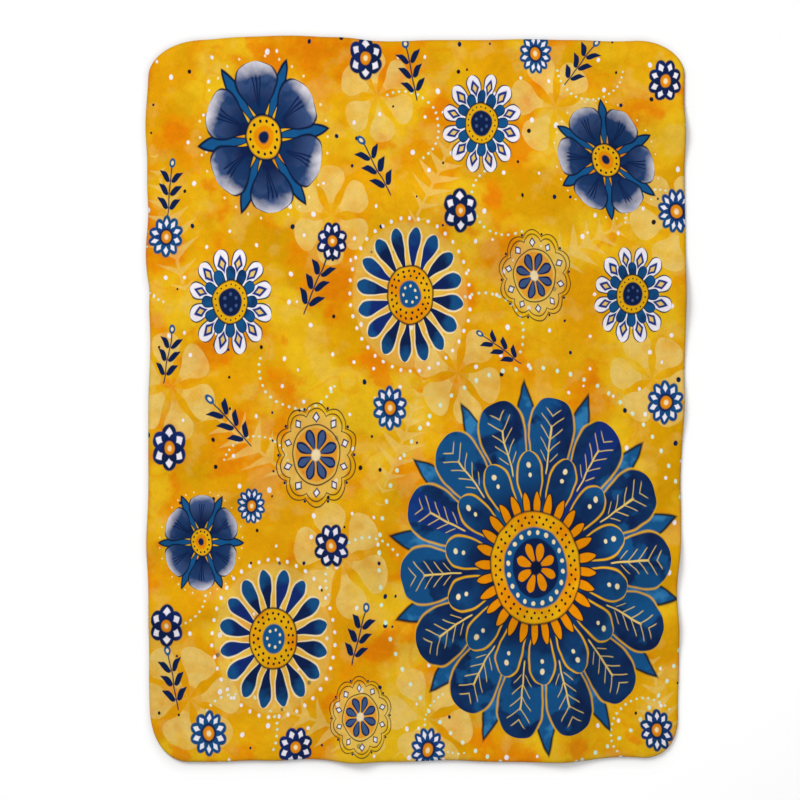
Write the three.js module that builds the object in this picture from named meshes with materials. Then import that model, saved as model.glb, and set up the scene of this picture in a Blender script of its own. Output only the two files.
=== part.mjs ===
// A printed plush throw blanket that lies flat: one cloth with its rolled hem, large round corners,
// a slightly uneven outline and the low soft folds that it lies in.
// Millimetres, +Z up. It lies on z = 0 with its length along Y; left is -X and front is -Y.

import * as THREE from 'three';

// The cut cloth, before its edges stray
const width = 756;
const length = 1020;
const clothThickness = 3;
const hemThickness = 4.5;
const hemRadius = hemThickness / 2;

// The right side leans in towards the front: how far its middle and its two ends are moved
const rightSideShift = -1.6;
const rightSideLean = 4;

// Steps of the mesh. They crowd towards the sides, so that the corners come out round.
const stepsAcross = 38;
const stepsAlong = 50;
const stepsThrough = 4;
const crowding = 0.22;

// From this share of its half width on, a point of the box lies on one of its walls
const wallShare = 0.9999;

// How far in from a side its strays die out, sideways and in height
const pushReach = 90;
const liftReach = 70;

// Half axes of the quarter ellipse at each corner, along X and along Y
const corners = {
  backLeft: { alongX: 79, alongY: 53 },
  backRight: { alongX: 72, alongY: 50 },
  frontLeft: { alongX: 57, alongY: 78 },
  frontRight: { alongX: 56, alongY: 63 },
};

// The outward direction of each side
const sides = {
  left: [-1, 0],
  right: [1, 0],
  back: [0, 1],
  front: [0, -1],
};

// Where a side strays from straight: at is the middle of the stray along X or Y, half is half
// its length, push is how far it goes outwards, and lift is how high the hem stands there.
const strays = [
  { side: 'left', at: 389, half: 75, push: 4, lift: 0 },
  { side: 'left', at: 310, half: 50, push: 1.6, lift: 0 },
  { side: 'left', at: 208, half: 60, push: 3.5, lift: 0 },
  { side: 'left', at: 155, half: 30, push: -1.5, lift: 0 },
  { side: 'left', at: 81, half: 90, push: -2.7, lift: 0 },
  { side: 'left', at: -199, half: 75, push: 2.5, lift: 0 },
  { side: 'left', at: -368, half: 110, push: -1.2, lift: 0 },
  { side: 'left', at: -450, half: 60, push: -1.8, lift: 0 },
  { side: 'right', at: 140, half: 270, push: 4, lift: 0 },
  { side: 'right', at: 372, half: 50, push: 1.5, lift: 0 },
  { side: 'right', at: -10, half: 60, push: 1.4, lift: 4 },
  { side: 'right', at: -110, half: 60, push: -1.4, lift: 0 },
  { side: 'right', at: -270, half: 80, push: -5.5, lift: 2 },
  { side: 'right', at: -350, half: 50, push: -1.5, lift: 0 },
  { side: 'right', at: -430, half: 90, push: -2.6, lift: 0 },
  { side: 'back', at: -182, half: 130, push: 6, lift: 1.5 },
  { side: 'back', at: -260, half: 50, push: 1.4, lift: 0 },
  { side: 'back', at: -100, half: 40, push: 1.6, lift: 0 },
  { side: 'back', at: -35, half: 60, push: -2, lift: 0 },
  { side: 'back', at: 153, half: 60, push: 1, lift: 1 },
  { side: 'back', at: 280, half: 60, push: -2, lift: 0 },
  { side: 'front', at: 0, half: 900, push: 0, lift: 1.5 },
  { side: 'front', at: -225, half: 60, push: -2, lift: 0 },
  { side: 'front', at: -150, half: 62, push: -4, lift: 0 },
  { side: 'front', at: -77, half: 50, push: 1, lift: 0 },
  { side: 'front', at: 50, half: 70, push: -2.5, lift: 0 },
  { side: 'front', at: 193, half: 62, push: 0.5, lift: 0 },
  { side: 'front', at: 300, half: 90, push: -7, lift: 0 },
];

// Level, away from the light: the way that the folds' steeper sides face
const shadeWay = new THREE.Vector2(0.616, -0.788);

// How much sooner the shaded side drops from the crest than the lit side does
const shadeLean = 0.25;

// Each smoothing of a fold's path cuts its corners at this share of both stretches
const cornerCut = 0.25;

// The soft folds: the crest's path with its height at each point, and how far the fold reaches
// on its lit side and on its shaded side
const folds = [
  {
    lit: 60,
    shade: 98,
    path: [
      [-115, 304, 0], [-30, 290, 10], [60, 272, 16], [125, 254, 18], [175, 228, 18.5],
      [230, 203, 18], [302, 178, 16], [350, 155, 12], [395, 132, 6.5],
    ],
  },
  {
    lit: 42,
    shade: 62,
    path: [
      [140, 466, 0], [215, 432, 8], [260, 415, 12], [316, 398, 11.5], [395, 378, 5.5],
    ],
  },
  {
    lit: 40,
    shade: 26,
    path: [[-395, -222, 3], [-313, -170, 3.7], [-242, -124, 3.4], [-190, -90, 0]],
  },
  {
    lit: 42,
    shade: 28,
    path: [[-395, -323, 3], [-325, -306, 3.6], [-268, -285, 3], [-220, -263, 0]],
  },
  {
    lit: 70,
    shade: 46,
    path: [
      [-165, -273, 0], [-100, -305, 4.5], [-60, -322, 6.5], [-9, -334, 7.8], [48, -334, 7.8],
      [104, -312, 7], [150, -290, 5], [200, -270, 0],
    ],
  },
  {
    lit: 60,
    shade: 60,
    path: [
      [395, -228, 3], [350, -229, 7], [305, -236, 11], [271, -260, 13.5], [253, -309, 15],
      [234, -366, 15], [219, -430, 12], [208, -525, 4],
    ],
  },
  {
    lit: 45,
    shade: 62,
    path: [[285, -340, 0], [315, -327, 7], [345, -322, 8], [395, -311, 3]],
  },
  {
    lit: 40,
    shade: 26,
    path: [[-70, -100, 0], [-25, -115, 2.8], [12, -127, 3.2], [62, -141, 0]],
  },
  {
    lit: 46,
    shade: 38,
    path: [[-97, -385, 0], [-90, -440, 3.5], [-84, -480, 5.5], [-79, -525, 7]],
  },
];

// 1 at no distance, falling smoothly to 0 at half, and exactly 0 from there on
function swell(distance, half, lean = 1) {
  return distance < half ? Math.cos((Math.PI / 2) * (distance / half) ** lean) ** 2 : 0;
}

// A smoother path with the same ends
function cutCorners(points) {
  const cut = [points[0]];
  for (let i = 1; i < points.length; i += 1) {
    const [start, end] = [points[i - 1], points[i]];
    cut.push(start.clone().lerp(end, cornerCut), start.clone().lerp(end, 1 - cornerCut));
  }
  return [...cut, points[points.length - 1]];
}

for (const fold of folds) {
  fold.points = cutCorners(cutCorners(fold.path.map((point) => new THREE.Vector3(...point))));
}

// An even step share from -1 to 1, moved towards its end
function crowd(share) {
  return share * (1 + crowding) - crowding * share ** 3;
}

// Draws the square corner that a point lies in onto its quarter ellipse
function roundCorner(x, y) {
  const corner = corners[(y > 0 ? 'back' : 'front') + (x < 0 ? 'Left' : 'Right')];
  const startX = width / 2 - corner.alongX;
  const startY = length / 2 - corner.alongY;
  const across = (Math.abs(x) - startX) / corner.alongX;
  const along = (Math.abs(y) - startY) / corner.alongY;
  if (across <= 0 || along <= 0) return [x, y];
  const squeeze = Math.max(across, along) / Math.hypot(across, along);
  return [
    Math.sign(x) * (startX + corner.alongX * across * squeeze),
    Math.sign(y) * (startY + corner.alongY * along * squeeze),
  ];
}

// The point of the crest that lies nearest, with the crest's height there as its z
function nearestCrest(x, y, points) {
  let nearest = null;
  let least = Infinity;
  for (let i = 1; i < points.length; i += 1) {
    const [start, end] = [points[i - 1], points[i]];
    const stretch = new THREE.Vector2(end.x - start.x, end.y - start.y);
    const reached = new THREE.Vector2(x - start.x, y - start.y).dot(stretch) / stretch.lengthSq();
    const crest = start.clone().lerp(end, Math.min(1, Math.max(0, reached)));
    const distance = Math.hypot(x - crest.x, y - crest.y);
    if (distance < least) {
      least = distance;
      nearest = crest;
    }
  }
  return nearest;
}

// How high a fold lifts the cloth. Facing is 0 on its lit side and 1 on its shaded side.
function foldHeight(x, y, fold) {
  const crest = nearestCrest(x, y, fold.points);
  const away = new THREE.Vector2(x - crest.x, y - crest.y);
  const distance = away.length();
  const facing = THREE.MathUtils.smoothstep(away.normalize().dot(shadeWay), -1, 1);
  const reach = fold.lit + (fold.shade - fold.lit) * facing;
  return crest.z * swell(distance, reach, 1 - shadeLean * facing);
}

// Where a point of the flat cloth comes to lie: its place, and how high its underside is
function lay(flatX, flatY) {
  const [x, y] = roundCorner(flatX, flatY);
  const rightShare = (x + width / 2) / width;
  let outX = rightShare * (rightSideShift + rightSideLean * (y / (length / 2)));
  let outY = 0;
  let lift = 0;
  for (const stray of strays) {
    const [sideX, sideY] = sides[stray.side];
    const half = sideX ? width / 2 : length / 2;
    const inwards = half - (x * sideX + y * sideY);
    const along = swell(Math.abs((sideX ? y : x) - stray.at), stray.half);
    const push = stray.push * along * Math.max(0, 1 - inwards / pushReach) ** 2;
    outX += push * sideX;
    outY += push * sideY;
    lift += stray.lift * along * swell(inwards, liftReach);
  }
  for (const fold of folds) {
    lift += foldHeight(x, y, fold);
  }
  return [x + outX, y + outY, lift];
}

// One point of the box with sides from -1 to 1 becomes a point of the cloth. The box's walls
// become the rolled hem, a half round from the underside to the top.
function clothPoint(across, along, through) {
  const onWallX = Math.abs(across) > wallShare;
  const onWallY = Math.abs(along) > wallShare;
  const turn = (Math.PI / 2) * through;
  const inset = hemRadius * (1 - Math.cos(turn));
  const insetX = onWallX ? inset * Math.sign(across) : 0;
  const insetY = onWallY ? inset * Math.sign(along) : 0;
  const hemHeight = hemRadius * (1 + Math.sin(turn));
  const clothHeight = through > 0 ? clothThickness : 0;
  const [x, y, lift] = lay(
    (width / 2) * crowd(across) - insetX,
    (length / 2) * crowd(along) - insetY,
  );
  return [x, y, lift + (onWallX || onWallY ? hemHeight : clothHeight)];
}

function blanketGeometry() {
  const geometry = new THREE.BoxGeometry(2, 2, 2, stepsAcross, stepsAlong, stepsThrough);
  const points = geometry.attributes.position;
  for (let i = 0; i < points.count; i += 1) {
    points.setXYZ(i, ...clothPoint(points.getX(i), points.getY(i), points.getZ(i)));
  }
  geometry.computeBoundingBox();
  const middle = geometry.boundingBox.getCenter(new THREE.Vector3());
  geometry.translate(-middle.x, -middle.y, 0);
  geometry.computeVertexNormals();
  return geometry;
}

const plush = new THREE.MeshStandardMaterial({ color: 0xdca22c, roughness: 0.95, metalness: 0 });

const blanket = new THREE.Mesh(blanketGeometry(), plush);
blanket.name = 'blanket';

const throwBlanket = new THREE.Group();
throwBlanket.add(blanket);

export default throwBlanket;
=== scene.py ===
# A printed plush throw blanket that lies flat on a pale floor, seen from straight above.
# Shapes are worked out in millimetres and made in metres.

import math

import bmesh
import bpy
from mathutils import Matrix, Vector, noise


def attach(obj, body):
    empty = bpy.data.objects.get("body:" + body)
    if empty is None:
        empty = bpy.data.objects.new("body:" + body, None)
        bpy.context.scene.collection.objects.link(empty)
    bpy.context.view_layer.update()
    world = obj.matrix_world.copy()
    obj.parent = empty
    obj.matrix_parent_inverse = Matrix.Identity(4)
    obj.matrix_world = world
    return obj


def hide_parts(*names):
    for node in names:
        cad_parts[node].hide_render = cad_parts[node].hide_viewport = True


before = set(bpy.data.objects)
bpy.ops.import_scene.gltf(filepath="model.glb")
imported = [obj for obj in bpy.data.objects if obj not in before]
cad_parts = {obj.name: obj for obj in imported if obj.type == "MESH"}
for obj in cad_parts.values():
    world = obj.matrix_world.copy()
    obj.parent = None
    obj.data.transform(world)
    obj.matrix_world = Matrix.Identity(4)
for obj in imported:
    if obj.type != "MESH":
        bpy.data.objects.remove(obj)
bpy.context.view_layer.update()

metres = 0.001


# The blanket's cloth, as it is cut and as it lies

cloth = {
    "width": 756,
    "length": 1020,
    "thickness": 3,
    "hemThickness": 4.5,
    "hemRound": 6,               # how far in from the edge the rolled hem is still rising
    "hemEnd": 9,                 # where the hem starts to thin to the plain cloth
    "clothStart": 55,            # where it has thinned to it
    "hemUnderneath": 11,         # how much of the underside the turned print covers
    "fieldStep": 4.6,            # mesh size away from the hem
    "rimLines": [0, 0.2, 0.8, 1.8, 3.2, 6, 9, 12, 14, 16.5, 19],     # depths of the mesh lines there
    "weld": 0.001,               # the top and the underside meet at the edge
    "rightSideShift": -1.6,      # the right side leans in towards the front: its middle
    "rightSideLean": 4,          # and its two ends
    "pushReach": 90,             # how far in from a side its strays die out, sideways
    "liftReach": 70,             # and in height
    "pathCut": 0.25,             # each smoothing of a fold's path cuts its corners at this share
    "shadeLean": 0.25,           # how much sooner a fold's shaded side drops from the crest
}

# Half axes of the quarter ellipse at each corner, along X and along Y
corners = {
    "backLeft": (79, 53),
    "backRight": (72, 50),
    "frontLeft": (57, 78),
    "frontRight": (56, 63),
}

shadeWay = Vector((0.616, -0.788))          # level, away from the light

sides = {"left": (-1, 0), "right": (1, 0), "back": (0, 1), "front": (0, -1)}

# Where a side strays from straight
strays = [
    {"side": "left", "at": 389, "half": 75, "push": 4, "lift": 0},
    {"side": "left", "at": 310, "half": 50, "push": 1.6, "lift": 0},
    {"side": "left", "at": 208, "half": 60, "push": 3.5, "lift": 0},
    {"side": "left", "at": 155, "half": 30, "push": -1.5, "lift": 0},
    {"side": "left", "at": 81, "half": 90, "push": -2.7, "lift": 0},
    {"side": "left", "at": -199, "half": 75, "push": 2.5, "lift": 0},
    {"side": "left", "at": -368, "half": 110, "push": -1.2, "lift": 0},
    {"side": "left", "at": -450, "half": 60, "push": -1.8, "lift": 0},
    {"side": "right", "at": 140, "half": 270, "push": 4, "lift": 0},
    {"side": "right", "at": 372, "half": 50, "push": 1.5, "lift": 0},
    {"side": "right", "at": -10, "half": 60, "push": 1.4, "lift": 4},
    {"side": "right", "at": -110, "half": 60, "push": -1.4, "lift": 0},
    {"side": "right", "at": -270, "half": 80, "push": -5.5, "lift": 2},
    {"side": "right", "at": -350, "half": 50, "push": -1.5, "lift": 0},
    {"side": "right", "at": -430, "half": 90, "push": -2.6, "lift": 0},
    {"side": "back", "at": -182, "half": 130, "push": 6, "lift": 1.5},
    {"side": "back", "at": -260, "half": 50, "push": 1.4, "lift": 0},
    {"side": "back", "at": -100, "half": 40, "push": 1.6, "lift": 0},
    {"side": "back", "at": -35, "half": 60, "push": -2, "lift": 0},
    {"side": "back", "at": 153, "half": 60, "push": 1, "lift": 1},
    {"side": "back", "at": 280, "half": 60, "push": -2, "lift": 0},
    {"side": "front", "at": 0, "half": 900, "push": 0, "lift": 1.5},
    {"side": "front", "at": -225, "half": 60, "push": -2, "lift": 0},
    {"side": "front", "at": -150, "half": 62, "push": -4, "lift": 0},
    {"side": "front", "at": -77, "half": 50, "push": 1, "lift": 0},
    {"side": "front", "at": 50, "half": 70, "push": -2.5, "lift": 0},
    {"side": "front", "at": 193, "half": 62, "push": 0.5, "lift": 0},
    {"side": "front", "at": 300, "half": 90, "push": -7, "lift": 0},
]

# The soft folds: the crest's path with the height at each point, and how far the fold reaches
# on its lit and on its shaded side
folds = [
    {"lit": 60, "shade": 98, "path": [
        (-115, 304, 0), (-30, 290, 10), (60, 272, 16), (125, 254, 18), (175, 228, 18.5),
        (230, 203, 18), (302, 178, 16), (350, 155, 12), (395, 132, 6.5)]},
    {"lit": 42, "shade": 62, "path": [
        (140, 466, 0), (215, 432, 8), (260, 415, 12), (316, 398, 11.5), (395, 378, 5.5)]},
    {"lit": 40, "shade": 26, "path": [
        (-395, -222, 3), (-313, -170, 3.7), (-242, -124, 3.4), (-190, -90, 0)]},
    {"lit": 42, "shade": 28, "path": [
        (-395, -323, 3), (-325, -306, 3.6), (-268, -285, 3), (-220, -263, 0)]},
    {"lit": 70, "shade": 46, "path": [
        (-165, -273, 0), (-100, -305, 4.5), (-60, -322, 6.5), (-9, -334, 7.8),
        (48, -334, 7.8), (104, -312, 7), (150, -290, 5), (200, -270, 0)]},
    {"lit": 60, "shade": 60, "path": [
        (395, -228, 3), (350, -229, 7), (305, -236, 11), (271, -260, 13.5),
        (253, -309, 15), (234, -366, 15), (219, -430, 12), (208, -525, 4)]},
    {"lit": 45, "shade": 62, "path": [
        (285, -340, 0), (315, -327, 7), (345, -322, 8), (395, -311, 3)]},
    {"lit": 40, "shade": 26, "path": [
        (-70, -100, 0), (-25, -115, 2.8), (12, -127, 3.2), (62, -141, 0)]},
    {"lit": 46, "shade": 38, "path": [
        (-97, -385, 0), (-90, -440, 3.5), (-84, -480, 5.5), (-79, -525, 7)]},
]


def swell(distance, half, lean=1):               # 1 at no distance, falling smoothly to 0 at half
    return math.cos(math.pi / 2 * (distance / half) ** lean) ** 2 if distance < half else 0


def roundCorner(x, y):                           # draws a square corner onto its quarter ellipse
    alongX, alongY = corners[("back" if y > 0 else "front") + ("Left" if x < 0 else "Right")]
    startX = cloth["width"] / 2 - alongX
    startY = cloth["length"] / 2 - alongY
    across = (abs(x) - startX) / alongX
    along = (abs(y) - startY) / alongY
    if across <= 0 or along <= 0:
        return Vector((x, y))
    squeeze = max(across, along) / math.hypot(across, along)
    return Vector((
        math.copysign(startX + alongX * across * squeeze, x),
        math.copysign(startY + alongY * along * squeeze, y),
    ))


def cutCorners(points):                          # a smoother path with the same ends
    cut = [points[0]]
    for start, end in zip(points, points[1:]):
        cut += [start.lerp(end, cloth["pathCut"]), start.lerp(end, 1 - cloth["pathCut"])]
    return cut + [points[-1]]


def foldHeight(fold, point):                     # the side that faces away from the light is steeper
    low, high = fold["box"]
    if not (low.x < point.x < high.x and low.y < point.y < high.y):
        return 0
    distance = math.inf
    for start, end in zip(fold["points"], fold["points"][1:]):
        stretch = (end - start).xy
        share = min(1, max(0, (point - start.xy).dot(stretch) / stretch.length_squared))
        crest = start.lerp(end, share)
        if (point - crest.xy).length < distance:
            away = point - crest.xy
            distance = away.length
            crestHeight = crest.z
    if distance >= max(fold["lit"], fold["shade"]):
        return 0
    facing = 0.5 + 0.5 * away.normalized().dot(shadeWay)
    facing = facing * facing * (3 - 2 * facing)  # 0 on the lit side and 1 on the shaded side
    reach = fold["lit"] + (fold["shade"] - fold["lit"]) * facing
    return crestHeight * swell(distance, reach, 1 - cloth["shadeLean"] * facing)


def layDown(point):                              # where a point of the flat cloth comes to lie
    half = (cloth["width"] / 2, cloth["length"] / 2)
    rightShare = point.x / cloth["width"] + 0.5
    lean = cloth["rightSideShift"] + cloth["rightSideLean"] * point.y / half[1]
    laid = Vector((point.x + rightShare * lean, point.y, 0))
    for stray in strays:
        outward = Vector(sides[stray["side"]])
        axis = 0 if outward.x else 1
        inwards = half[axis] - point.dot(outward)
        along = swell(abs(point[1 - axis] - stray["at"]), stray["half"])
        laid.xy += outward * stray["push"] * along * max(0, 1 - inwards / cloth["pushReach"]) ** 2
        laid.z += stray["lift"] * along * swell(inwards, cloth["liftReach"])
    for fold in folds:
        laid.z += foldHeight(fold, point)
    return laid


def gridLines(span):                             # where the mesh lines lie across the flat cloth
    rim = cloth["rimLines"]
    inner = span / 2 - rim[-1]
    steps = round(2 * inner / cloth["fieldStep"])
    field = [inner * (2 * step / steps - 1) for step in range(1, steps)]
    start = [depth - span / 2 for depth in rim]
    return start + field + [-line for line in reversed(start)]


def hemSwell(rim):                               # half the hem's height, at this depth from the edge
    share = min(1, rim / cloth["hemRound"])
    return cloth["hemThickness"] / 2 * math.sqrt(1 - (1 - share) ** 2)


def topHeight(rim):
    if rim < cloth["hemEnd"]:
        return cloth["hemThickness"] / 2 + hemSwell(rim)
    still = swell(rim - cloth["hemEnd"], cloth["clothStart"] - cloth["hemEnd"])
    return cloth["thickness"] + (cloth["hemThickness"] - cloth["thickness"]) * still


def undersideHeight(rim):
    return cloth["hemThickness"] / 2 - hemSwell(rim)


pileLofts = [                                    # the pile is a little thicker here and thinner there
    {"size": 60, "height": 0.45, "level": 3.1},
    {"size": 19, "height": 0.16, "level": 7.7},
]


def loft(point):
    return sum(
        row["height"] * noise.noise(Vector((point.x / row["size"], point.y / row["size"], row["level"])))
        for row in pileLofts
    )


def layOutline(middle):                          # the laid edge, anticlockwise from the front left
    halfWidth = cloth["width"] / 2
    halfLength = cloth["length"] / 2
    xs = gridLines(cloth["width"])
    ys = gridLines(cloth["length"])
    walk = [(x, -halfLength) for x in xs[:-1]] + [(halfWidth, y) for y in ys[:-1]]
    walk += [(x, halfLength) for x in reversed(xs[1:])] + [(-halfWidth, y) for y in reversed(ys[1:])]
    return [layDown(roundCorner(*corner)).xy - middle for corner in walk]


rimLook = {                                      # painted shade along the rolled hem's edge, deeper at the back left
    "depth": 0.17,               # how much darker the very edge is, and twice that at the back left
    "reach": 5.5,                # how far in that goes, and 1 mm more at the back left
    "turn": 150,                 # how far from the middle the back left's part is reached
}


# painted shade: how much the print is darkened at this depth from the edge
def rimShade(point, rim):
    facing = 0.5 - 0.5 * max(-1, min(1, point.dot(shadeWay) / rimLook["turn"]))
    reach = rimLook["reach"] + facing
    return rimLook["depth"] * (1 + facing) * max(0, 1 - rim / reach) ** 2


def makeBlanket():
    for fold in folds:
        fold["points"] = cutCorners(cutCorners([Vector(point) for point in fold["path"]]))
        reach = max(fold["lit"], fold["shade"])
        fold["box"] = (
            Vector([min(point[axis] for point in fold["points"]) - reach for axis in (0, 1)]),
            Vector([max(point[axis] for point in fold["points"]) + reach for axis in (0, 1)]),
        )
    acrossLines = gridLines(cloth["width"])
    alongLines = gridLines(cloth["length"])
    build = bmesh.new()
    flatKey = build.verts.layers.float_vector.new("flat")
    laidKey = build.verts.layers.float_vector.new("laid")
    rimKey = build.verts.layers.float.new("rimShade")
    bmesh.ops.create_grid(build, x_segments=len(acrossLines) - 1, y_segments=len(alongLines) - 1, size=1)
    for vert in build.verts:
        x = acrossLines[round((vert.co.x + 1) / 2 * (len(acrossLines) - 1))]
        y = alongLines[round((vert.co.y + 1) / 2 * (len(alongLines) - 1))]
        rim = min(cloth["width"] / 2 - abs(x), cloth["length"] / 2 - abs(y))
        point = roundCorner(x, y)
        vert[flatKey] = (*point, rim)
        vert[rimKey] = rimShade(point, rim)
        vert[laidKey] = layDown(point)
    laid = [vert[laidKey] for vert in build.verts]
    middle = Vector([(min(p[axis] for p in laid) + max(p[axis] for p in laid)) / 2 for axis in (0, 1)])
    under = bmesh.ops.duplicate(build, geom=build.verts[:] + build.edges[:] + build.faces[:])["geom"]
    underVerts = {element for element in under if isinstance(element, bmesh.types.BMVert)}
    underFaces = [element for element in under if isinstance(element, bmesh.types.BMFace)]
    for vert in build.verts:
        rim = vert[flatKey][2]
        spot = vert[laidKey]
        if vert in underVerts:
            height = undersideHeight(rim)
        else:
            height = topHeight(rim) + loft(spot) * min(1, rim / cloth["rimLines"][-1])
        vert.co = Vector((spot[0] - middle.x, spot[1] - middle.y, spot[2] + height)) * metres
    bmesh.ops.reverse_faces(build, faces=underFaces)
    for face in underFaces:
        depth = min(vert[flatKey][2] for vert in face.verts)
        face.material_index = 0 if depth < cloth["hemUnderneath"] else 1
    edgeVerts = [vert for vert in build.verts if vert[flatKey][2] < cloth["rimLines"][1] / 2]
    bmesh.ops.remove_doubles(build, verts=edgeVerts, dist=cloth["weld"] * metres)
    printMap = build.loops.layers.uv.new("print")
    for face in build.faces:
        face.smooth = True
        for corner in face.loops:
            flat = corner.vert[flatKey]
            corner[printMap].uv = (flat[0] / cloth["width"] + 0.5, flat[1] / cloth["length"] + 0.5)
    build.verts.layers.float_vector.remove(build.verts.layers.float_vector["laid"])
    build.verts.layers.float_vector.remove(build.verts.layers.float_vector["flat"])
    mesh = bpy.data.meshes.new("plushThrow")
    build.to_mesh(mesh)
    build.free()
    blanket = bpy.data.objects.new("plushThrow", mesh)
    bpy.context.scene.collection.objects.link(blanket)
    return blanket, layOutline(middle)


# Shader maths, written as sums

class Ink:                                       # one output socket of the nodes being written
    tree = None

    def __init__(self, socket):
        self.socket = socket

    @staticmethod
    def node(kind, settings=None, values=None, output=0):
        made = Ink.tree.nodes.new("ShaderNode" + kind)
        for name, value in (settings or {}).items():
            if name == "outline":
                points = made.mapping.curves[0].points
                points[0].location = value[0]
                points[1].location = value[-1]
                for place in value[1:-1]:
                    points.new(*place)
                made.mapping.update()
            else:
                setattr(made, name, value)
        for name, value in (values or {}).items():
            if isinstance(value, Ink):
                Ink.tree.links.new(value.socket, made.inputs[name])
            else:
                made.inputs[name].default_value = value
        return Ink(made.outputs[output])

    def other(self, output):                     # another output of the same node
        return Ink(self.socket.node.outputs[output])

    def maths(self, operation, *others):
        return Ink.node("Math", {"operation": operation}, dict(enumerate((self, *others))))

    def __add__(self, value):
        return self.maths("ADD", value)

    def __radd__(self, value):
        return self.maths("ADD", value)

    def __sub__(self, value):
        return self.maths("SUBTRACT", value)

    def __rsub__(self, value):
        return Ink.node("Math", {"operation": "SUBTRACT"}, {0: value, 1: self})

    def __mul__(self, value):
        return self.maths("MULTIPLY", value)

    def __rmul__(self, value):
        return self.maths("MULTIPLY", value)

    def __abs__(self):
        return self.maths("ABSOLUTE")

    def above(self, limit, soft):                # 1 where this is over limit, with a soft edge
        return Ink.node("MapRange", None, {0: self, 1: limit - soft, 2: limit + soft})

    def below(self, limit, soft):
        return Ink.node("MapRange", None, {0: self, 1: limit + soft, 2: limit - soft})

    def spread(self, low, high):                 # low to high becomes 0 to 1
        return Ink.node("MapRange", None, {0: self, 1: low, 2: high})

    def within(self, low, high, soft):
        return self.above(low, soft) * self.below(high, soft)


def mixColours(under, over, mask):
    return Ink.node("Mix", {"data_type": "RGBA"}, {0: mask, 6: under, 7: over}, 2)


def vectorMaths(operation, first, second=None, output=0):
    values = {0: first} if second is None else {0: first, 1: second}
    return Ink.node("VectorMath", {"operation": operation}, values, output)


def linearShare(share):
    return share / 12.92 if share <= 0.04045 else ((share + 0.055) / 1.055) ** 2.4


def dye(code):                                   # a web colour, as the cloth's own under this light
    shares = [int(code[place:place + 2], 16) / 255 for place in (1, 3, 5)]
    return (*[min(0.95, linearShare(share) / printLook["lightLevel"]) for share in shares], 1)


printLook = {
    "lightLevel": 1.2,           # how brightly a white cloth would come out
    "wobble": 3,                 # how far the hand-painted lines stray, in millimetres
    "wobbleSize": 34,            # and over what length
    "edge": 0.03,                # softness of the big flower's edges, as a share of half a petal
    "stretch": 1.27,             # motifs are this much taller than wide
    "petalGap": 0.06,            # how much narrower a petal is than its outline, as that share too
    "dotEdge": 0.35,             # softness of the dots, as a share of a dot
}

dyes = {name: dye(code) for name, code in {
    "gold": "#e4ab0c",
    "amber": "#df9b03",
    "olive": "#d29800",
    "lemon": "#e7ba1a",
    "straw": "#e6c46a",
    "orange": "#e28900",
    "rust": "#e07800",
    "navy": "#0d1f48",
    "midnight": "#0a1634",
    "marine": "#10325f",
    "teal": "#145286",
    "sky": "#3a8ac0",
    "cobalt": "#152f7c",
    "steel": "#3e5684",
    "lilac": "#ece7ee",
    "cream": "#f0dcae",
    "mint": "#cfe8d4",
    "black": "#1c1820",
    "undyed": "#efeae2",
    "undyedShade": "#e2dbd0",
}.items()}


def noiseField(vector, size, detail=2.0, seed=0.0, output="Fac"):
    moved = vectorMaths("ADD", vector, (seed, seed * 1.7, seed))
    values = {"Vector": moved, "Scale": 1 / size, "Detail": detail}
    return Ink.node("TexNoise", {"noise_dimensions": "3D"}, values, output)


def polar(spot):                                 # the angle in turns, and the distance from the middle
    x = Ink.node("SeparateXYZ", None, {0: spot})
    return x.other(1).maths("ARCTAN2", x) * (0.5 / math.pi), vectorMaths("LENGTH", spot, None, 1)


def petals(angle, radius, row):                  # the paint's strength, the way across and the way out
    turns = angle * row["count"] + row.get("turn", 0.0)
    side = abs(turns.maths("FRACT") - 0.5) * 2   # 0 on a petal's middle line, 1 halfway to the next
    along = radius.spread(row["inner"], row["outer"])
    width = Ink.node("FloatCurve", {"outline": row["outline"]}, {"Value": along})
    return width - side - printLook["petalGap"], side, along


def petalChance(angle, row):                     # a different value from 0 to 1 for each petal
    number = (angle * row["count"] + row.get("turn", 0.0)).maths("FLOOR")
    return Ink.node("TexWhiteNoise", {"noise_dimensions": "1D"}, {"W": number}, "Value")


def ringDots(angle, radius, count, at, size, turn=0.0):
    side = abs((angle * count + turn).maths("FRACT") - 0.5) * (2 * math.pi * at / count)
    away = side * side + (radius - at).maths("POWER", 2)
    return away.below(size * size, size * size * printLook["dotEdge"])


def nearestPlace(flat, places):                  # the middle of the nearest motif of a kind becomes 0, 0
    spot = reach = kind = None
    for place in places:
        local = Ink.node("Mapping", {"vector_type": "TEXTURE"}, {
            "Vector": flat,
            "Location": (place["x"], place["y"], 0),
            "Rotation": (0, 0, math.radians(place.get("turn", 0))),
            "Scale": (place["size"], place["size"] * place.get("tall", printLook["stretch"]), 1),
        })
        length = vectorMaths("LENGTH", local, None, 1)
        if spot is None:
            spot, reach, kind = local, length, place.get("kind")
            continue
        closer = length.maths("LESS_THAN", reach)
        spot = Ink.node("Mix", {"data_type": "VECTOR"}, {0: closer, 4: spot, 5: local}, 1)
        if "kind" in place:
            kind = Ink.node("Mix", {"data_type": "FLOAT"}, {0: closer, 2: kind, 3: place["kind"]}, 0)
        reach = reach.maths("MINIMUM", length)
    return spot, reach, kind


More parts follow.
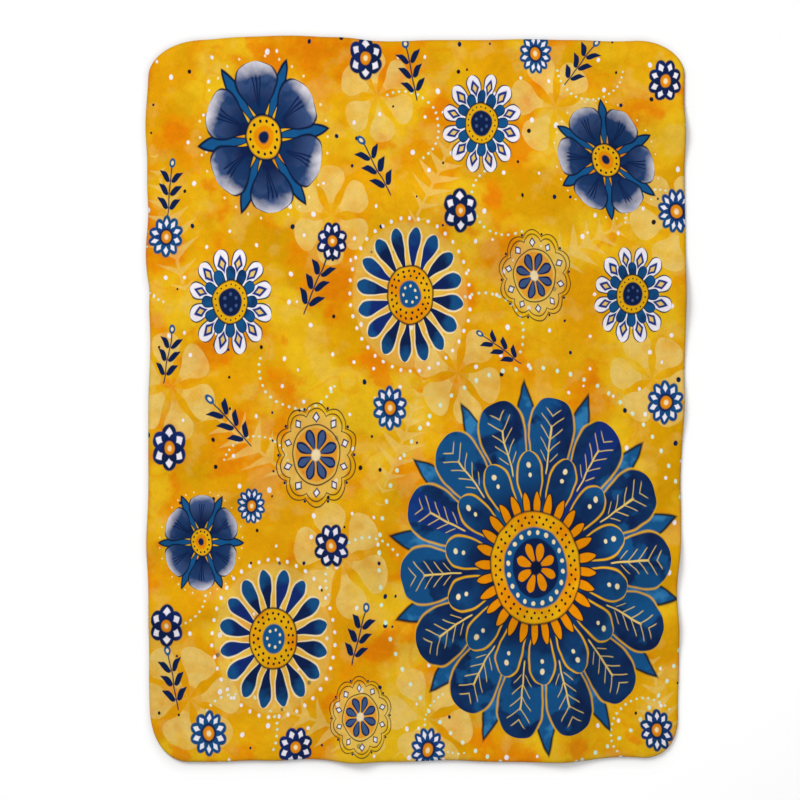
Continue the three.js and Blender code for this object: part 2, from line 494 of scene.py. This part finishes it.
def paintGround(flat):                           # mustard washes over one another
    broad = noiseField(flat, 170, 3, 11)
    middle = noiseField(flat, 85, 4, 31)
    close = noiseField(flat, 40, 5, 53)
    colour = mixColours(dyes["amber"], dyes["gold"], broad.above(0.5, 0.06))
    colour = mixColours(colour, dyes["olive"], noiseField(flat, 130, 2, 71).above(0.55, 0.06) * 0.8)
    colour = mixColours(colour, dyes["orange"], middle.above(0.55, 0.05) * 0.85)
    colour = mixColours(colour, dyes["lemon"], noiseField(flat, 110, 3, 91).above(0.56, 0.05) * 0.8)
    colour = mixColours(colour, dyes["straw"], close.below(0.42, 0.04) * 0.22)
    colour = mixColours(colour, dyes["rust"], (middle + close).above(1.17, 0.05) * 0.65)
    return mixColours(colour, dyes["orange"], broad.within(0.545, 0.56, 0.006) * 0.3)


ghostFlowers = [
    {"x": -55, "y": 432, "size": 52, "turn": 8},
    {"x": 195, "y": 415, "size": 60, "turn": 20},
    {"x": 370, "y": 250, "size": 62, "turn": 35},
    {"x": -120, "y": 262, "size": 56},
    {"x": -345, "y": 20, "size": 62, "turn": 10},
    {"x": 60, "y": 40, "size": 60, "turn": 15},
    {"x": -105, "y": -225, "size": 66, "turn": 15},
    {"x": -320, "y": -420, "size": 66, "turn": 40},
    {"x": 20, "y": -450, "size": 60, "turn": 25},
    {"x": 335, "y": 30, "size": 56, "turn": 25},
]

ghostPetals = {
    "count": 6, "inner": 0.08, "outer": 1,
    "outline": [(0, 0.5), (0.3, 0.62), (0.7, 0.94), (0.9, 0.76), (1, 0)],
}

ghostFerns = [
    {"x": 30, "y": 320, "size": 52, "turn": -25},
    {"x": -345, "y": 240, "size": 60, "turn": 12},
    {"x": 230, "y": 215, "size": 56, "turn": -60},
    {"x": -235, "y": -60, "size": 62, "turn": 52},
    {"x": -20, "y": -60, "size": 52, "turn": -20},
    {"x": -120, "y": -460, "size": 60, "turn": 70},
    {"x": 350, "y": -440, "size": 52, "turn": 8},
]


def paintGhosts(ground, flat):                   # pale blossoms and ferns, half washed out
    wash = noiseField(flat, 26, 4, 5)
    spot = nearestPlace(flat, ghostFlowers)[0]
    angle, radius = polar(spot)
    inside = petals(angle, radius, ghostPetals)[0]
    cover = inside.above(0.03, 0.02) * (radius.above(0.26, 0.02) * 0.7 + 0.3)
    ground = mixColours(ground, dyes["straw"], cover * (wash.above(0.45, 0.16) * 0.55 + 0.3))
    spot = nearestPlace(flat, ghostFerns)[0]
    x = Ink.node("SeparateXYZ", None, {0: spot})
    y = x.other(1)
    away = abs(x)
    leaf = abs((y * 3.2 - away * 1.5).maths("FRACT") - 0.5)
    width = away.spread(0, 0.72) + abs(y) * 0.55
    frond = (leaf + width * 0.42).below(0.4, 0.03) * width.below(0.95, 0.04)
    stem = away.below(0.035, 0.015) * abs(y).below(1, 0.03)
    return mixColours(ground, dyes["straw"], frond.maths("MAXIMUM", stem) * (wash * 0.8 + 0.15))


speckLook = {
    "spacing": 34,               # from one dot to the next, in millimetres
    "scatter": 0.9,
    "smallest": 0.04,            # in spacings
    "spread": 0.05,              # how much larger the largest is
    "share": 0.75,               # how many of the places have a dot
}


def paintSpecks(ground, flat):                   # scattered white, navy and black dots
    stretched = vectorMaths("MULTIPLY", flat, (1, 1 / printLook["stretch"], 1))
    colour = Ink.node("TexVoronoi", {"voronoi_dimensions": "2D"}, {
        "Vector": stretched,
        "Scale": 1 / speckLook["spacing"],
        "Randomness": speckLook["scatter"],
    }, "Color")
    away = colour.other("Distance")
    red = Ink.node("SeparateColor", None, {0: colour})
    green = red.other(1)
    blue = red.other(2)
    size = red * speckLook["spread"] + speckLook["smallest"]
    there = (away - size).below(0, 0.012) * blue.below(speckLook["share"], 0.001)
    dots = mixColours(dyes["lilac"], dyes["navy"], green.above(0.66, 0.001))
    dots = mixColours(dots, dyes["black"], green.above(0.8, 0.001))
    return mixColours(ground, dots, there)


dottedArcs = [
    {"x": -20, "y": 385, "size": 52, "turn": 30, "tall": 1},
    {"x": 130, "y": 285, "size": 52, "turn": 205, "tall": 1},
    {"x": 340, "y": 255, "size": 44, "turn": 100, "tall": 1},
    {"x": 95, "y": 95, "size": 58, "turn": 60, "tall": 1},
    {"x": -165, "y": 45, "size": 56, "turn": 250, "tall": 1},
    {"x": -225, "y": -95, "size": 46, "turn": 80, "tall": 1},
    {"x": -345, "y": -270, "size": 48, "turn": 300, "tall": 1},
    {"x": -70, "y": -250, "size": 56, "turn": 120, "tall": 1},
    {"x": -250, "y": -470, "size": 56, "turn": 60, "tall": 1},
    {"x": 60, "y": -455, "size": 44, "turn": 200, "tall": 1},
    {"x": 330, "y": -470, "size": 50, "turn": 130, "tall": 1},
    {"x": -345, "y": 185, "size": 46, "turn": 170, "tall": 1},
    {"x": 245, "y": 470, "size": 46, "turn": 270, "tall": 1},
]


def paintArcs(ground, flat):                     # strings of small pale dots
    spot = nearestPlace(flat, dottedArcs)[0]
    angle, radius = polar(spot)
    dots = ringDots(angle, radius, count=36, at=1, size=0.036)
    return mixColours(ground, dyes["mint"], dots * abs(angle).below(0.24, 0.004) * 0.9)


sprigs = [
    {"x": -8, "y": 468, "size": 30, "turn": 12, "tall": 1.5},
    {"x": 232, "y": 478, "size": 28, "turn": -35, "tall": 1.5},
    {"x": -347, "y": 300, "size": 28, "turn": -6, "tall": 1.5},
    {"x": -58, "y": 332, "size": 32, "turn": 28, "tall": 1.5},
    {"x": -140, "y": 168, "size": 32, "turn": -22, "tall": 1.5},
    {"x": -350, "y": 66, "size": 28, "turn": -8, "tall": 1.5},
    {"x": -264, "y": -28, "size": 32, "turn": 42, "tall": 1.5},
    {"x": -344, "y": -392, "size": 30, "turn": 10, "tall": 1.5},
    {"x": -78, "y": -330, "size": 30, "turn": -14, "tall": 1.5},
    {"x": 118, "y": 76, "size": 26, "turn": 55, "tall": 1.5},
]


def paintSprigs(ground, flat):                   # small navy sprigs with pointed leaves and a bud
    spot = nearestPlace(flat, sprigs)[0]
    x = Ink.node("SeparateXYZ", None, {0: spot})
    y = x.other(1)
    away = abs(x)
    stem = away.below(0.03, 0.02) * abs(y + 0.1).below(0.9, 0.03)
    order = y * 2.2 - away * 1.3
    leaf = abs(order.maths("FRACT") - 0.5)
    outline = Ink.node("FloatCurve", {"outline": [(0, 0), (0.35, 0.36), (0.7, 0.2), (1, 0)]}, {
        "Value": away.spread(0.02, 0.62)})
    leaves = (outline - leaf).above(0.03, 0.03) * abs(order + 0.5).below(1.5, 0.02)
    bud = vectorMaths("LENGTH", vectorMaths("SUBTRACT", spot, (0, 0.86, 0)), None, 1)
    colour = mixColours(ground, dyes["navy"], stem.maths("MAXIMUM", leaves))
    colour = mixColours(colour, dyes["teal"], bud.below(0.16, 0.02))
    return mixColours(colour, dyes["cream"], bud.below(0.07, 0.02))


buttons = [
    {"x": -72, "y": 484, "size": 25, "kind": 0.1},
    {"x": 168, "y": 490, "size": 23, "kind": 0.8},
    {"x": 350, "y": 452, "size": 24, "kind": 0.45},
    {"x": -352, "y": 232, "size": 24, "kind": 0.6},
    {"x": -118, "y": 225, "size": 22, "kind": 0.3},
    {"x": 62, "y": 268, "size": 25, "kind": 0.05},
    {"x": 366, "y": 268, "size": 26, "kind": 0.9},
    {"x": 352, "y": -2, "size": 25, "kind": 0.7},
    {"x": -348, "y": -66, "size": 26, "kind": 0.2},
    {"x": -36, "y": -10, "size": 25, "kind": 0.55},
    {"x": -232, "y": -148, "size": 20, "kind": 0.85},
    {"x": -118, "y": -205, "size": 25, "kind": 0.4},
    {"x": -352, "y": -318, "size": 24, "kind": 0.15},
    {"x": -292, "y": -470, "size": 26, "kind": 0.65},
    {"x": -168, "y": -492, "size": 24, "kind": 0.35},
    {"x": 20, "y": -494, "size": 25, "kind": 0.75},
    {"x": 346, "y": -466, "size": 25, "kind": 0.5},
]


def paintButtons(ground, flat, wash):            # small scalloped blossoms of six to twelve petals
    spot, radius, kind = nearestPlace(flat, buttons)
    angle = polar(spot)[0]
    count = (kind * 4).maths("FLOOR") * 2 + 6
    side = abs((angle * count).maths("FRACT") - 0.5) * 2
    inside = 1 - side.maths("POWER", 2) * 0.2 - radius
    fill = mixColours(dyes["navy"], dyes["teal"], kind.above(0.5, 0.001) * 0.8)
    fill = mixColours(fill, dyes["cobalt"], wash.above(0.55, 0.08) * 0.5)
    colour = mixColours(ground, fill, inside.above(0, 0.035))
    drop = side + abs(radius - 0.66) * 3.1
    colour = mixColours(colour, dyes["lilac"], drop.below(0.62, 0.1))
    colour = mixColours(colour, dyes["navy"], radius.below(0.4, 0.04))
    colour = mixColours(colour, dyes["orange"], radius.below(0.29, 0.04))
    return mixColours(colour, dyes["cream"], radius.below(0.12, 0.04))


pansies = [
    {"x": -215, "y": 372, "size": 98, "turn": 8},
    {"x": 268, "y": 340, "size": 74, "turn": 30},
    {"x": -302, "y": -200, "size": 62, "turn": 0},
]

pansyRows = {
    "leaves": {
        "count": 6, "inner": 0.3, "outer": 1, "turn": 0.5,
        "outline": [(0, 0.3), (0.4, 0.34), (0.75, 0.22), (1, 0)]},
    "petals": {
        "count": 6, "inner": 0.14, "outer": 0.86,
        "outline": [(0, 0.3), (0.3, 0.72), (0.68, 0.98), (0.9, 0.8), (0.97, 0.5), (1, 0)]},
}


def paintPansies(ground, flat, wash):            # six broad veined petals over small leaves
    spot, radius = nearestPlace(flat, pansies)[:2]
    angle = polar(spot)[0]
    inside = petals(angle, radius, pansyRows["leaves"])[0]
    colour = mixColours(ground, dyes["midnight"], inside.above(0.0, 0.02))
    colour = mixColours(colour, dyes["teal"], inside.above(0.07, 0.02))
    inside, side, along = petals(angle, radius, pansyRows["petals"])
    colour = mixColours(colour, dyes["midnight"], inside.above(0.0, 0.03))
    fill = mixColours(dyes["navy"], dyes["steel"], along.above(0.55, 0.25) * 0.8)
    fill = mixColours(fill, dyes["marine"], wash.above(0.5, 0.04) * 0.7)
    fill = mixColours(fill, dyes["lilac"], (along + wash * 0.5).above(1.16, 0.14) * 0.8)
    colour = mixColours(colour, fill, inside.above(0.08, 0.03))
    veins = abs(side - along * 0.22).maths("MINIMUM", side * 0.8).below(0.03, 0.015)
    colour = mixColours(colour, dyes["navy"], veins * along.within(0.3, 0.78, 0.03))
    beads = ringDots(angle, radius, count=30, at=0.92, size=0.016) * inside.below(-0.1, 0.02)
    colour = mixColours(colour, dyes["cream"], beads)
    colour = mixColours(colour, dyes["midnight"], radius.below(0.27, 0.012))
    colour = mixColours(colour, dyes["gold"], radius.below(0.24, 0.012))
    colour = mixColours(colour, dyes["black"], ringDots(angle, radius, count=13, at=0.19, size=0.019))
    colour = mixColours(colour, dyes["orange"], radius.below(0.135, 0.012))
    return mixColours(colour, dyes["navy"], radius.below(0.07, 0.012))


daisies = [
    {"x": -8, "y": 150, "size": 78, "turn": 4},
    {"x": -200, "y": -336, "size": 80, "turn": 0},
]

daisyPetals = {
    "count": 16, "inner": 0.36, "outer": 0.97,
    "outline": [(0, 0.35), (0.3, 0.74), (0.7, 0.92), (0.9, 0.66), (1, 0)],
}


def paintDaisies(ground, flat, wash):            # many narrow petals round a seeded eye
    spot, radius = nearestPlace(flat, daisies)[:2]
    angle = polar(spot)[0]
    colour = mixColours(ground, dyes["straw"], radius.below(1.04, 0.02) * 0.35)
    inside, _, along = petals(angle, radius, daisyPetals)
    colour = mixColours(colour, dyes["cream"], inside.above(0.0, 0.05))
    fill = mixColours(dyes["navy"], dyes["cobalt"], petalChance(angle, daisyPetals).above(0.6, 0.05) * 0.6)
    fill = mixColours(fill, dyes["teal"], (along + wash).above(1.2, 0.12) * 0.8)
    colour = mixColours(colour, fill, inside.above(0.16, 0.05))
    tips = ringDots(angle, radius, count=16, at=0.82, size=0.022, turn=0.5)
    colour = mixColours(colour, dyes["gold"], tips)
    colour = mixColours(colour, dyes["black"], radius.below(0.43, 0.012))
    eye = mixColours(dyes["gold"], dyes["orange"], wash.above(0.5, 0.1))
    colour = mixColours(colour, eye, radius.below(0.405, 0.012))
    colour = mixColours(colour, dyes["black"], ringDots(angle, radius, count=22, at=0.345, size=0.02))
    colour = mixColours(colour, dyes["black"], ringDots(angle, radius, count=15, at=0.27, size=0.02))
    colour = mixColours(colour, dyes["teal"], radius.below(0.2, 0.012))
    colour = mixColours(colour, dyes["cream"], ringDots(angle, radius, count=7, at=0.12, size=0.022))
    return mixColours(colour, dyes["lilac"], ringDots(angle, radius, count=40, at=1.09, size=0.028))


rosettes = [
    {"x": -262, "y": 140, "size": 60},
    {"x": 92, "y": 392, "size": 56},
    {"x": 305, "y": 150, "size": 54},
]

rosetteOutline = [(0, 0.68), (0.4, 0.9), (0.72, 0.86), (0.9, 0.62), (1, 0)]

rosetteRows = {
    "outer": {"count": 12, "inner": 0.44, "outer": 1, "outline": rosetteOutline},
    "inner": {"count": 12, "inner": 0.24, "outer": 0.66, "turn": 0.5, "outline": rosetteOutline},
}


def paintRosettes(ground, flat, wash):           # two rows of round petals about a domed eye
    spot, radius = nearestPlace(flat, rosettes)[:2]
    angle = polar(spot)[0]
    inside, side, along = petals(angle, radius, rosetteRows["outer"])
    colour = mixColours(ground, dyes["midnight"], inside.above(0.0, 0.04))
    colour = mixColours(colour, dyes["lilac"], inside.above(0.13, 0.05))
    seed = side * 0.9 + abs(along - 0.5) * 1.5
    colour = mixColours(colour, dyes["cobalt"], seed.below(0.5, 0.05))
    colour = mixColours(colour, dyes["straw"], seed.below(0.24, 0.05))
    inside = petals(angle, radius, rosetteRows["inner"])[0]
    colour = mixColours(colour, dyes["midnight"], inside.above(0.0, 0.04))
    fill = mixColours(dyes["marine"], dyes["teal"], wash.above(0.45, 0.1))
    colour = mixColours(colour, fill, inside.above(0.14, 0.05))
    colour = mixColours(colour, dyes["black"], radius.below(0.42, 0.014))
    colour = mixColours(colour, dyes["gold"], radius.below(0.39, 0.014))
    colour = mixColours(colour, dyes["black"], ringDots(angle, radius, count=18, at=0.33, size=0.018))
    colour = mixColours(colour, dyes["navy"], radius.below(0.26, 0.014))
    return mixColours(colour, dyes["steel"], ringDots(angle, radius, count=6, at=0.14, size=0.034))


laceRings = [
    {"x": -140, "y": -76, "size": 60},
    {"x": 168, "y": 176, "size": 52, "turn": 6},
    {"x": -76, "y": -446, "size": 46, "turn": 3},
]

lacePetals = {
    "count": 8, "inner": 0.08, "outer": 0.5,
    "outline": [(0, 0.5), (0.6, 0.86), (0.9, 0.5), (1, 0)],
}


def paintLace(ground, flat):                     # rings drawn in thin lines, with scallops and beads
    spot, radius = nearestPlace(flat, laceRings)[:2]
    angle = polar(spot)[0]
    colour = mixColours(ground, dyes["straw"], radius.below(0.8, 0.02) * 0.5)
    side = abs((angle * 10).maths("FRACT") - 0.5) * 2
    scallop = radius + side.maths("POWER", 2) * 0.13
    lines = abs(scallop - 0.97).maths("MINIMUM", abs(scallop - 0.87)).below(0.012, 0.01)
    lines = lines.maths("MAXIMUM", abs(radius - 0.56).below(0.012, 0.01))
    colour = mixColours(colour, dyes["black"], lines)
    drop = side * 0.3 + abs(radius - 0.7) * 1.1
    colour = mixColours(colour, dyes["navy"], drop.below(0.12, 0.014))
    colour = mixColours(colour, dyes["lilac"], drop.below(0.075, 0.014))
    beads = ringDots(angle, radius, count=10, at=0.9, size=0.03, turn=0.5)
    colour = mixColours(colour, dyes["navy"], beads)
    colour = mixColours(colour, dyes["orange"], radius.below(0.5, 0.015) * 0.7)
    inside = petals(angle, radius, lacePetals)[0]
    colour = mixColours(colour, dyes["navy"], inside.above(0.0, 0.05))
    colour = mixColours(colour, dyes["steel"], inside.above(0.3, 0.06))
    return mixColours(colour, dyes["cream"], radius.below(0.11, 0.02))


bloomPlace = {"x": 172, "y": -236, "size": 192, "turn": 4}

bloomRows = {
    "tips": {
        "count": 14, "inner": 0.7, "outer": 1.12,
        "outline": [(0, 0.5), (0.45, 0.42), (0.75, 0.22), (1, 0)]},
    "broad": {
        "count": 14, "inner": 0.36, "outer": 1, "turn": 0.5,
        "outline": [(0, 0.75), (0.4, 0.95), (0.72, 1), (0.92, 0.72), (1, 0)]},
    "short": {
        "count": 14, "inner": 0.3, "outer": 0.68,
        "outline": [(0, 0.6), (0.35, 0.88), (0.7, 0.86), (0.9, 0.58), (1, 0)]},
    "frill": {
        "count": 28, "inner": 0.26, "outer": 0.45,
        "outline": [(0, 0.6), (0.5, 0.9), (0.85, 0.6), (1, 0)]},
    "heart": {
        "count": 8, "inner": 0.03, "outer": 0.15,
        "outline": [(0, 0.5), (0.5, 0.8), (1, 0)]},
}


def paintBroadPetals(colour, angle, radius, wash, patches):
    inside, side, along = petals(angle, radius, bloomRows["broad"])
    colour = mixColours(colour, dyes["gold"], inside.above(0.0, printLook["edge"]))
    fill = mixColours(dyes["navy"], dyes["marine"], wash.above(0.46, 0.14))
    fill = mixColours(fill, dyes["teal"], patches.above(0.57, 0.02) * 0.85)
    shade = petalChance(angle, bloomRows["broad"])
    fill = mixColours(fill, dyes["cobalt"], shade.above(0.8, 0.01) * side.below(0.45, 0.02) * 0.7)
    colour = mixColours(colour, fill, inside.above(0.06, printLook["edge"]))
    vein = side.below(0.035, 0.012) * along.within(0.3, 0.74, 0.01)
    barbs = abs((along * 9 - side * 2.6).maths("FRACT") - 0.5).below(0.07, 0.03) * side.below(0.42, 0.02)
    barbs = barbs * along.within(0.42, 0.9, 0.01)
    return mixColours(colour, dyes["straw"], vein.maths("MAXIMUM", barbs * 0.75))


def paintShortPetals(colour, angle, radius, patches):
    inside, _, along = petals(angle, radius, bloomRows["short"])
    colour = mixColours(colour, dyes["gold"], inside.above(0.0, printLook["edge"]))
    fill = mixColours(dyes["marine"], dyes["teal"], patches.above(0.48, 0.05) * 0.85)
    fill = mixColours(fill, dyes["navy"], along.below(0.5, 0.3))
    colour = mixColours(colour, fill, inside.above(0.1, printLook["edge"]))
    dots = ringDots(angle, radius, count=14, at=0.6, size=0.017)
    dots = dots.maths("MAXIMUM", ringDots(angle, radius, count=14, at=0.54, size=0.013))
    return mixColours(colour, dyes["cream"], dots)


def paintBloomEye(colour, angle, radius, wash):
    inside = petals(angle, radius, bloomRows["frill"])[0]
    colour = mixColours(colour, dyes["black"], inside.above(0.0, 0.05))
    colour = mixColours(colour, dyes["orange"], inside.above(0.2, 0.06))
    colour = mixColours(colour, dyes["black"], radius.below(0.335, 0.006))
    eye = mixColours(dyes["gold"], dyes["orange"], wash.above(0.5, 0.12))
    colour = mixColours(colour, eye, radius.below(0.325, 0.006))
    colour = mixColours(colour, dyes["black"], ringDots(angle, radius, count=34, at=0.295, size=0.0085))
    seeds = ringDots(angle, radius, count=30, at=0.262, size=0.0085, turn=0.5)
    colour = mixColours(colour, dyes["black"], seeds)
    colour = mixColours(colour, dyes["teal"], radius.below(0.235, 0.006))
    colour = mixColours(colour, dyes["cream"], ringDots(angle, radius, count=20, at=0.205, size=0.014))
    colour = mixColours(colour, dyes["navy"], radius.below(0.172, 0.006))
    inside = petals(angle, radius, bloomRows["heart"])[0]
    colour = mixColours(colour, dyes["orange"], inside.above(0.0, 0.06))
    return mixColours(colour, dyes["midnight"], radius.below(0.045, 0.006))


def paintBloom(ground, flat, wash, patches):     # the big layered flower
    spot, radius = nearestPlace(flat, [bloomPlace])[:2]
    angle = polar(spot)[0]
    colour = mixColours(ground, dyes["mint"], ringDots(angle, radius, count=72, at=1.16, size=0.013))
    inside = petals(angle, radius, bloomRows["tips"])[0]
    colour = mixColours(colour, dyes["black"], inside.above(0.0, printLook["edge"]))
    tips = mixColours(dyes["teal"], dyes["sky"], wash.above(0.56, 0.06) * 0.6)
    colour = mixColours(colour, tips, inside.above(0.07, printLook["edge"]))
    colour = paintBroadPetals(colour, angle, radius, wash, patches)
    colour = paintShortPetals(colour, angle, radius, patches)
    return paintBloomEye(colour, angle, radius, wash)


plushLook = {
    "roughness": 0.9,
    "specular": 0.03,
    "sheen": 0.05,
    "sheenSpread": 0.5,
    "pile": 0.0016,              # size of the pile's grain, in metres
    "tufts": 0.0096,             # and of its tufts
    "stroke": 0.45,              # the grain is longer than wide: this is width over length
    "grain": 0.25,               # how much the two lighten and darken the print
    "cloudSize": 0.11,           # size of the patches where the pile lies this or that way
    "clouds": 0.4,               # how much they lighten and darken it
    "bump": 0.35,
    "bumpHeight": 0.0006,
}


def startMaterial(name):
    material = bpy.data.materials.new(name)
    material.use_nodes = True
    Ink.tree = material.node_tree
    Ink.tree.nodes.clear()
    return material


def finishPlush(colour):                         # short pile: dull, slightly silky, finely grained
    place = Ink.node("TexCoord", None, None, "Object")
    brushed = vectorMaths("MULTIPLY", place, (1, plushLook["stroke"], 1))
    grain = noiseField(brushed, plushLook["pile"], 2)
    tufts = noiseField(place, plushLook["tufts"], 2)
    clouds = (noiseField(place, plushLook["cloudSize"], 3) - 0.5) * plushLook["clouds"]
    shade = (grain + tufts - 1) * plushLook["grain"] + 1 + clouds
    # painted shade: the colour darkens towards the edge, by the rimShade attribute
    shade = shade * (1 - Ink.node("Attribute", {"attribute_name": "rimShade"}, None, "Fac"))
    colour = Ink.node("Mix", {"data_type": "RGBA", "blend_type": "MULTIPLY"}, {
        0: 1.0, 6: colour, 7: Ink.node("CombineColor", None, {0: shade, 1: shade, 2: shade})}, 2)
    normal = Ink.node("Bump", None, {
        "Strength": plushLook["bump"],
        "Distance": plushLook["bumpHeight"],
        "Height": grain + tufts,
    })
    surface = Ink.node("BsdfPrincipled", None, {
        "Base Color": colour,
        "Roughness": tufts * 0.1 + (plushLook["roughness"] - 0.05),
        "Normal": normal,
        "Specular IOR Level": plushLook["specular"],
        "Sheen Weight": plushLook["sheen"],
        "Sheen Roughness": plushLook["sheenSpread"],
    })
    output = Ink.tree.nodes.new("ShaderNodeOutputMaterial")
    Ink.tree.links.new(surface.socket, output.inputs["Surface"])


def makePrintedPlush():
    material = startMaterial("printedPlush")
    flat = Ink.node("UVMap", {"uv_map": "print"})
    flat = Ink.node("Mapping", None, {
        "Vector": flat,
        "Location": (-cloth["width"] / 2, -cloth["length"] / 2, 0),
        "Scale": (cloth["width"], cloth["length"], 1),
    })
    wobble = 2 * printLook["wobble"]             # the noise reaches half as far to each side
    stray = noiseField(flat, printLook["wobbleSize"], 1, 2, "Color")
    stray = vectorMaths("SUBTRACT", stray, (0.5, 0.5, 0.5))
    flat = vectorMaths("ADD", flat, vectorMaths("MULTIPLY", stray, (wobble, wobble, 0)))
    wash = noiseField(flat, 30, 3, 17)
    patches = noiseField(flat, 62, 3, 23)
    colour = paintGround(flat)
    colour = paintGhosts(colour, flat)
    colour = paintSpecks(colour, flat)
    colour = paintArcs(colour, flat)
    colour = paintSprigs(colour, flat)
    colour = paintButtons(colour, flat, wash)
    colour = paintLace(colour, flat)
    colour = paintPansies(colour, flat, wash)
    colour = paintDaisies(colour, flat, wash)
    colour = paintRosettes(colour, flat, wash)
    colour = paintBloom(colour, flat, wash, patches)
    finishPlush(colour)
    return material


def makePlainPlush():
    material = startMaterial("plainPlush")
    place = Ink.node("TexCoord", None, None, "Object")
    cloudy = noiseField(place, plushLook["cloudSize"] / 2, 3)
    finishPlush(mixColours(dyes["undyed"], dyes["undyedShade"], cloudy))
    return material


print("blanket: laying the cloth")
blanket, outline = makeBlanket()
print("blanket: painting the print")
blanket.data.materials.append(makePrintedPlush())
blanket.data.materials.append(makePlainPlush())
printNodes = blanket.data.materials["printedPlush"].node_tree.nodes
print("blanket:", len(blanket.data.polygons), "faces,", len(printNodes), "nodes")

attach(blanket, "root")
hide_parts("blanket")


# Floor, light and camera

studio = {
    "floorSize": 8,
    "floorGap": 0.0002,          # keeps the floor just clear of the cloth
    "floorTone": 0.862,          # in the middle; paler away from the light, so that it looks even
    "floorAcross": 0.085,        # how much paler it gets for each metre, along X and against Y
    "floorAlong": 0.148,
    "floorAround": 0.05,         # and for each square metre, all round
    "floorPalest": 0.98,
    "contactDepth": 0.24,        # how much of the sky's light the edge of the cloth keeps off the floor
    "contactReach": 12,          # how far from the edge, in millimetres: twice that at the front
    "contactRings": [-1, 0, 0.12, 0.25, 0.4, 0.6, 0.8, 1],       # in reaches outwards
    "skyStrength": 0.22,
    "lampPower": 225,
    "lampSize": 2.2,
    "lampAt": (-2.52, 3.23, 3.2),
    "softboxPower": 68,
    "softboxSize": 2.4,
    "softboxAt": (0.15, 0.3, 3.6),
    "cameraAt": (-0.0221, -0.0013, 2.672),
    "lens": 85,
}


def addContactShade(build):                      # a band of floor along the edge, with its soft shade
    shadeKey = build.verts.layers.float.new("contactShade")
    depthKey = build.verts.layers.float.new("depth")
    reachKey = build.verts.layers.float_vector.new("reach")
    shares = studio["contactRings"]
    ring = []
    for before, spot, after in zip(outline[-1:] + outline, outline, outline[1:] + outline[:1]):
        along = (after - before).normalized()
        outward = Vector((along.y, -along.x))
        reach = outward * studio["contactReach"] * (1 + max(0, -outward.y)) * metres
        vert = build.verts.new((*(spot * metres + reach * shares[0]), -studio["floorGap"] / 2))
        vert[reachKey] = (*reach, 0)
        vert[depthKey] = studio["contactDepth"] * (1 - max(0, outward.x) / 2)
        vert[shadeKey] = vert[depthKey]
        ring.append(vert)
    edges = [build.edges.new(pair) for pair in zip(ring, ring[1:] + ring[:1])]
    for inner, outer in zip(shares, shares[1:]):
        grown = bmesh.ops.extrude_edge_only(build, edges=edges)["geom"]
        edges = [element for element in grown if isinstance(element, bmesh.types.BMEdge)]
        for vert in [element for element in grown if isinstance(element, bmesh.types.BMVert)]:
            vert.co += vert[reachKey] * (outer - inner)
            vert[shadeKey] = vert[depthKey] * (1 - max(0, outer)) ** 2
    build.verts.layers.float.remove(build.verts.layers.float["depth"])
    build.verts.layers.float_vector.remove(build.verts.layers.float_vector["reach"])


def makeFloor():
    build = bmesh.new()
    bmesh.ops.create_grid(build, x_segments=4, y_segments=4, size=studio["floorSize"] / 2)
    bmesh.ops.translate(build, verts=build.verts, vec=(0, 0, -studio["floorGap"]))
    addContactShade(build)
    mesh = bpy.data.meshes.new("floor")
    build.to_mesh(mesh)
    build.free()
    floor = bpy.data.objects.new("floor", mesh)
    bpy.context.scene.collection.objects.link(floor)
    material = startMaterial("floorPaint")
    place = Ink.node("TexCoord", None, None, "Object")
    x = Ink.node("SeparateXYZ", None, {0: place})
    y = x.other(1)
    tone = x * studio["floorAcross"] - y * studio["floorAlong"] + (x * x + y * y) * studio["floorAround"]
    tone = (tone + studio["floorTone"]).maths("MINIMUM", studio["floorPalest"])
    # painted shadow: the floor's colour darkens near the cloth's edge, wider at the front and lighter on
    # the right
    tone = tone * (1 - Ink.node("Attribute", {"attribute_name": "contactShade"}, None, "Fac"))
    surface = Ink.node("BsdfPrincipled", None, {
        "Base Color": Ink.node("CombineColor", None, {0: tone, 1: tone, 2: tone}),
        "Roughness": 0.95,
        "Specular IOR Level": 0.0,
    })
    output = Ink.tree.nodes.new("ShaderNodeOutputMaterial")
    Ink.tree.links.new(surface.socket, output.inputs["Surface"])
    mesh.materials.append(material)


def addLamp(name, aim):
    lamp = bpy.data.lights.new(name, "AREA")
    lamp.energy = studio[name + "Power"]
    lamp.size = studio[name + "Size"]
    light = bpy.data.objects.new(name, lamp)
    light.location = studio[name + "At"]
    light.rotation_euler = (aim - light.location).to_track_quat("-Z", "Y").to_euler()
    bpy.context.scene.collection.objects.link(light)


def makeLight():
    world = bpy.data.worlds.new("paleSky")
    world.use_nodes = True
    world.node_tree.nodes["Background"].inputs["Color"].default_value = (1, 1, 1, 1)
    world.node_tree.nodes["Background"].inputs["Strength"].default_value = studio["skyStrength"]
    bpy.context.scene.world = world
    addLamp("lamp", Vector((0, 0, 0)))
    addLamp("softbox", Vector(studio["softboxAt"]) * Vector((1, 1, 0)))


def makeCamera():
    lens = bpy.data.cameras.new("camera")
    lens.lens = studio["lens"]
    camera = bpy.data.objects.new("camera", lens)
    camera.location = studio["cameraAt"]
    bpy.context.scene.collection.objects.link(camera)
    bpy.context.scene.camera = camera


print("studio: floor, light and camera")
makeFloor()
makeLight()
makeCamera()
bpy.context.scene.view_settings.view_transform = "Standard"
